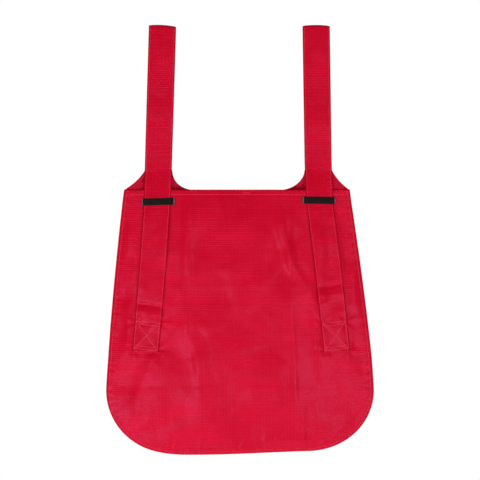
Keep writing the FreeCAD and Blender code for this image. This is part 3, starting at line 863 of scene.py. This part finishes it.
def stow_pocket(back_tree):
    """The pocket inside the back panel that the whole bag folds into: its cloth, hem and stitches."""
    x, h = np.meshgrid(np.linspace(-POCKET_W / 2, POCKET_W / 2, 57), np.linspace(POCKET_LOW, POCKET_TOP, 63))
    calm = smooth((POCKET_W / 2 - np.abs(x)) / 0.02) * smooth((h - POCKET_LOW) / 0.02)
    y = pocket_y(back_tree, x, h) + 0.9 * MM * rough(x, h, 0.04, 21.0) * calm
    px, ph = askew(x, h)
    outer = points_at(px, y, ph)
    cloth = sheet_grid("stow_pocket_cloth", outer, outer + (0, CLOTH_T, 0), np.stack([x, h], axis=-1))
    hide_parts("stow_pocket")
    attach(cloth, "bag")
    tree = surface_of(cloth)

    low, high = POCKET_TOP - POCKET_HEM, POCKET_TOP + 0.4 * MM
    x, h = np.meshgrid(np.linspace(-62 * MM, 62 * MM, 51), np.linspace(low, high, 7))
    px, ph = askew(x, h)
    level = BOTTOM_Z + np.minimum(h, POCKET_TOP - 1 * MM)
    y = np.array([land(tree, FRONT, a, b)[0] for a, b in zip(px.ravel(), level.ravel())]).reshape(x.shape)
    inner = points_at(px, y + CLOTH_T + 0.05 * MM, ph)
    hem = sheet_grid("stow_pocket_hem_fold", inner, inner + (0, 0.3 * MM, 0), np.stack([x, h], axis=-1))
    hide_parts("stow_pocket_hem")
    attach(hem, "bag")

    inset = 2 * MM
    side, low, high = POCKET_W / 2 - inset, POCKET_LOW + inset, POCKET_TOP - 1 * MM
    corners = [(-side, high), (-side, low), (side, low), (side, high)]
    runs = []
    for a, b in zip(corners, corners[1:]):
        line = resample(np.array([a, b]), 40)
        place, length = panel_place(tree, FRONT, line)
        runs += row_of_stitches(place, length, lift=0.1 * MM)
    rows = stitches("stow_pocket_thread", runs, "stow_pocket_stitch", 0.28 * MM)
    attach(rows, "bag")
    return cloth, hem, rows


# ---- materials ----
def nodes_of(name):
    """A new material, its node tree and its shader."""
    material = bpy.data.materials.new(name)
    material.use_nodes = True
    tree = material.node_tree
    return material, tree, tree.nodes["Principled BSDF"]


def flat_uv(tree):
    """Coordinates on the cloth before it is sewn, in metres."""
    node = tree.nodes.new("ShaderNodeUVMap")
    node.uv_map = "flat"
    return node.outputs["UV"]


def math_node(tree, operation, a, b=None):
    node = tree.nodes.new("ShaderNodeMath")
    node.operation = operation
    for socket, value in zip(node.inputs, (a, b)):
        if value is None:
            continue
        if isinstance(value, (int, float)):
            socket.default_value = value
        else:
            tree.links.new(value, socket)
    return node.outputs[0]


def weighted_sum(tree, *terms):
    """The sum of (output, weight) pairs."""
    total = None
    for output, weight in terms:
        term = math_node(tree, "MULTIPLY", output, weight)
        total = term if total is None else math_node(tree, "ADD", total, term)
    return total


def map_range(tree, value, low, high, to=(0.0, 1.0), interpolation="LINEAR"):
    node = tree.nodes.new("ShaderNodeMapRange")
    node.interpolation_type = interpolation
    for name, number in zip(("From Min", "From Max", "To Min", "To Max"), (low, high, *to)):
        node.inputs[name].default_value = number
    tree.links.new(value, node.inputs["Value"])
    return node.outputs["Result"]


def lines_mask(tree, coordinate, pitch, share):
    """1 on thin lines that repeat every pitch, 0 between them."""
    wave = math_node(tree, "FRACT", math_node(tree, "DIVIDE", coordinate, pitch))
    off = math_node(tree, "ABSOLUTE", math_node(tree, "SUBTRACT", wave, 0.5))
    return map_range(tree, off, share, share * 0.35, interpolation="SMOOTHSTEP")


def noise_node(tree, vector, scale, detail, stretch=None):
    if stretch:
        mapping = tree.nodes.new("ShaderNodeMapping")
        mapping.inputs["Scale"].default_value = stretch
        tree.links.new(vector, mapping.inputs["Vector"])
        vector = mapping.outputs["Vector"]
    node = tree.nodes.new("ShaderNodeTexNoise")
    node.inputs["Scale"].default_value = scale
    node.inputs["Detail"].default_value = detail
    tree.links.new(vector, node.inputs["Vector"])
    return node.outputs["Fac"]


def base_colour(tree, shader, factor, dark, light):
    """Colour a shader between two colours."""
    node = tree.nodes.new("ShaderNodeMix")
    node.data_type = "RGBA"
    tree.links.new(factor, node.inputs["Factor"])
    node.inputs["A"].default_value = (*dark, 1.0)
    node.inputs["B"].default_value = (*light, 1.0)
    tree.links.new(node.outputs["Result"], shader.inputs["Base Color"])


def set_sockets(node, values):
    for name, value in values.items():
        node.inputs[name].default_value = value


def bump(tree, shader, height, distance):
    node = tree.nodes.new("ShaderNodeBump")
    node.inputs["Strength"].default_value = 1.0
    node.inputs["Distance"].default_value = distance
    tree.links.new(height, node.inputs["Height"])
    tree.links.new(node.outputs["Normal"], shader.inputs["Normal"])


def ripstop(name, dark, light, roughness):
    """Thin polyester with a grid of thicker threads, a plain weave between them and a faint sheen."""
    material, tree, shader = nodes_of(name)
    uv = flat_uv(tree)
    split = tree.nodes.new("ShaderNodeSeparateXYZ")
    tree.links.new(uv, split.inputs["Vector"])
    x, y = split.outputs["X"], split.outputs["Y"]
    grid = math_node(tree, "MAXIMUM", *(lines_mask(tree, axis, 5.2 * MM, 0.09) for axis in (x, y)))
    turns = 2 * math.pi / (0.42 * MM)
    weave = math_node(tree, "MULTIPLY", *(math_node(tree, "SINE", math_node(tree, "MULTIPLY", axis, turns))
                                          for axis in (x, y)))
    streak_x = noise_node(tree, uv, 1.0, 3.0, (330.0, 9.0, 1.0))
    streak_y = noise_node(tree, uv, 1.0, 3.0, (9.0, 330.0, 1.0))
    streaks = math_node(tree, "ADD", streak_x, streak_y)
    cloud = noise_node(tree, uv, 14.0, 3.0)
    patch = map_range(tree, noise_node(tree, uv, 11.0, 2.0), 0.44, 0.60)
    ribs = math_node(tree, "MULTIPLY", lines_mask(tree, y, 3.4 * MM, 0.22), patch)
    tone = weighted_sum(tree, (streaks, 0.24), (cloud, 0.36), (grid, 0.20), (ribs, 0.44))
    base_colour(tree, shader, map_range(tree, tone, 0.30, 1.0), dark, light)

    crinkle = noise_node(tree, uv, 95.0, 4.0)
    height = weighted_sum(tree, (grid, 0.20), (weave, 0.03), (crinkle, 0.55), (ribs, 0.50))
    bump(tree, shader, height, 0.35 * MM)
    gloss = map_range(tree, cloud, 0.0, 1.0, (roughness - 0.05, roughness + 0.07))
    tree.links.new(gloss, shader.inputs["Roughness"])
    set_sockets(shader, {"Specular IOR Level": 0.26, "Specular Tint": (1.0, 0.33, 0.78, 1.0),
                         "Sheen Weight": 0.02, "Sheen Roughness": 0.45, "Sheen Tint": (1.0, 0.45, 0.55, 1.0)})
    return material


def webbing_material():
    """Dull black webbing."""
    material, tree, shader = nodes_of("black_webbing")
    uv = flat_uv(tree)
    fuzz, shade = noise_node(tree, uv, 900.0, 3.0), noise_node(tree, uv, 60.0, 2.0)
    base_colour(tree, shader, shade, (0.004, 0.003, 0.003), (0.011, 0.008, 0.008))
    bump(tree, shader, fuzz, 0.15 * MM)
    set_sockets(shader, {"Roughness": 0.72, "Specular IOR Level": 0.2, "Sheen Weight": 0.05})
    return material


def thread_material(name, dark, light):
    """Twisted polyester thread, a little duller than the cloth."""
    material, tree, shader = nodes_of(name)
    twist = noise_node(tree, flat_uv(tree), 1400.0, 2.0)
    base_colour(tree, shader, twist, dark, light)
    bump(tree, shader, twist, 0.08 * MM)
    set_sockets(shader, {"Roughness": 0.5, "Specular IOR Level": 0.2, "Specular Tint": (1.0, 0.35, 0.55, 1.0),
                         "Sheen Weight": 0.05, "Sheen Tint": (1.0, 0.35, 0.5, 1.0)})
    return material


# ---- stage: floor, light, camera ----
def floor():
    """A round pale floor well below the bag."""
    rings, around = 5, 72
    points = [(0, 0, 0)]
    for radius in np.linspace(0.2, 1.0, rings):
        for k in range(around):
            turn = 2 * math.pi * k / around
            points.append((radius * math.cos(turn), radius * math.sin(turn), 0))
    faces = [(0, 1 + k, 1 + (k + 1) % around) for k in range(around)]
    faces += grid_faces(rings, around, 1, loop=True)
    mesh = bpy.data.meshes.new("floor")
    mesh.from_pydata(points, [], faces)
    piece = add_object("floor", mesh)
    piece.location = (0, 0, BOTTOM_Z - 0.75)
    material, tree, shader = nodes_of("pale_floor")
    fine = tree.nodes.new("ShaderNodeTexNoise")
    fine.inputs["Scale"].default_value = 40
    base_colour(tree, shader, fine.outputs["Fac"], (0.86, 0.86, 0.86), (0.90, 0.90, 0.90))
    set_sockets(shader, {"Roughness": 0.8, "Emission Color": (1, 1, 1, 1), "Emission Strength": 0.35})
    mesh.materials.append(material)


# Lamps, as (name, place above the bag's bottom, size, power, whether the cloth mirrors it).
SOFTBOXES = (
    ("left", (-2.8, -1.4, 0.25), (0.6, 1.3), 28, False),
    ("right", (2.7, -1.5, 0.15), (0.6, 1.3), 19, False),
    ("front", (0.1, -3.3, 0.05), (1.2, 0.8), 11, False),
    ("near_left", (-1.2, -2.9, -0.75), (0.3, 0.8), 30, True),
    ("near_right", (1.25, -2.9, -0.40), (0.3, 0.8), 21, True),
    ("top", (0.1, -1.7, 2.1), (1.2, 0.5), 6, False),
    ("back_left", (-1.5, 2.6, 0.9), (0.6, 0.9), 34, True),
    ("back_right", (2.7, 1.5, 0.1), (0.6, 1.3), 50, False),
    ("back_top", (-2.4, 1.7, 1.2), (1.2, 0.5), 30, False),
)


def softbox(name, place, size, power, mirrored):
    """A rectangular lamp aimed at the middle of the bag; one that isn't mirrored only lights softly."""
    light = bpy.data.lights.new(name, "AREA")
    light.shape = "RECTANGLE"
    light.size, light.size_y = size
    light.energy = power
    lamp = add_object(name, light)
    lamp.location = (place[0], place[1], BOTTOM_Z + place[2])
    lamp.rotation_euler = (Vector((0, 0, BOTTOM_Z + 0.24)) - lamp.location).to_track_quat("-Z", "Y").to_euler()
    lamp.visible_glossy = mirrored


def studio():
    """White behind the bag, a dim sky that lights it, and the nine softboxes."""
    world = bpy.data.worlds.new("studio")
    bpy.context.scene.world = world
    world.use_nodes = True
    tree = world.node_tree
    tree.nodes.clear()
    seen, lit, reflected = (tree.nodes.new("ShaderNodeBackground") for _ in range(3))
    lit.inputs["Strength"].default_value = 0.22
    reflected.inputs["Strength"].default_value = 0.02
    for sky in (seen, lit, reflected):
        sky.inputs["Color"].default_value = (1, 1, 1, 1)
    path, out = tree.nodes.new("ShaderNodeLightPath"), tree.nodes.new("ShaderNodeOutputWorld")
    gloss, mix = tree.nodes.new("ShaderNodeMixShader"), tree.nodes.new("ShaderNodeMixShader")
    tree.links.new(path.outputs["Is Glossy Ray"], gloss.inputs["Fac"])
    tree.links.new(lit.outputs[0], gloss.inputs[1])
    tree.links.new(reflected.outputs[0], gloss.inputs[2])
    tree.links.new(path.outputs["Is Camera Ray"], mix.inputs["Fac"])
    tree.links.new(gloss.outputs[0], mix.inputs[1])
    tree.links.new(seen.outputs[0], mix.inputs[2])
    tree.links.new(mix.outputs[0], out.inputs["Surface"])
    for name, *settings in SOFTBOXES:
        softbox("softbox_" + name, *settings)


def camera():
    """Straight on, far away, with a long lens."""
    away, seen_height = 3.5, 0.744
    lens = bpy.data.cameras.new("camera")
    lens.sensor_width = 36
    lens.lens = 36 * away / seen_height
    eye = add_object("camera", lens)
    eye.location = (0, -away, BOTTOM_Z + 0.333)
    eye.rotation_euler = (math.pi / 2, 0, 0)
    bpy.context.scene.camera = eye
    bpy.context.scene.view_settings.view_transform = "Standard"


# ---- build ----
camera()
studio()
floor()

MATERIALS = {
    "shell_cloth": ripstop("shell_cloth_ripstop", (0.50, 0.0008, 0.014), (0.72, 0.003, 0.030), 0.31),
    # The straps are the same cloth as the body. This slightly darker copy of it is painted shade, for the
    # smaller share of light that falls on the straps.
    "strap_cloth": ripstop("strap_cloth_ripstop", (0.48, 0.0007, 0.013), (0.70, 0.0025, 0.027), 0.31),
    "thread": thread_material("red_thread", (0.70, 0.030, 0.065), (0.90, 0.075, 0.135)),
    "tack_thread": thread_material("tack_thread", (0.20, 0.06, 0.08), (0.38, 0.18, 0.20)),
    "webbing": webbing_material(),
}

front, back = panel(FRONT), panel(BACK)
front_tree, back_tree = surface_of(front), surface_of(back)
seam_runs = []
for face, tree in ((FRONT, front_tree), (BACK, back_tree)):
    place, length = panel_place(tree, face, resample(seam_line(STITCH_IN), 600))
    seam_runs += row_of_stitches(place, length - 1 * MM)
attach(stitches("perimeter_stitches", seam_runs, "perimeter_stitch"), "bag")

hem_line = np.array([(-HEM_HALF + 1 * MM, HEM_H), (HEM_HALF - 1 * MM, HEM_H)])
front_hem = rolled_hem("front_hem_fold", FRONT, [hem_line], "front_hem")
half_neck, half_horn = neck_curve(), horn_curve()[:-2]
neck_lines = [mirrored(half_neck), half_horn, half_horn[::-1] * (-1, 1)]
back_hem = rolled_hem("back_neck_hem_fold", BACK, neck_lines, "back_neck_hem")

hem_runs = []
stitch_h = HEM_H - HEM_STITCH_IN
edge = HEM_HALF - STITCH_IN - 2 * MM
strap_sides = [float(strap_x(side, stitch_h)) + out * STRAP_W / 2 for side in SIDES for out in (-1, 1)]
stops = [-edge, *strap_sides, edge]
for low, high in zip(stops[::2], stops[1::2]):
    line = resample(np.array([(low + LEAN, stitch_h), (high + LEAN, stitch_h)]), 60)
    place, length = panel_place(front_tree, FRONT, line)
    hem_runs += row_of_stitches(place, length)
front_hem_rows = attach(stitches("front_hem_stitches", hem_runs, "front_hem_stitch"), "bag")

neck_runs = []
for line in neck_lines:
    line = resample(line, 200)
    inside = line + HEM_STITCH_IN * unit_normals(line)
    place, length = panel_place(back_tree, BACK, inside[3:-3])
    neck_runs += row_of_stitches(place, length)
back_neck_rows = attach(stitches("back_neck_stitches", neck_runs, "back_neck_stitch"), "bag")

seam_allowance()
pocket, pocket_hem, pocket_rows = stow_pocket(back_tree)

for piece in (front, back):
    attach(piece, "bag")

for side in SIDES:
    piece, outers, strap_length = strap(side, front_tree)
    corners = box_corners(side, BOX_TALL, BOX_W, BOX_H)
    box = box_stitches(surface_of(piece), FRONT, side + "_box_stitch", corners, cross=True)
    anchor_corners = box_corners(side, ANCHOR_TALL, ANCHOR_W, ANCHOR_H + 15 * MM)
    box_stitches(back_tree, BACK, side + "_anchor_stitch", anchor_corners)
    web = keeper(side)
    edge_rows = strap_edge_stitches(side, outers)
    blend_handle(piece)
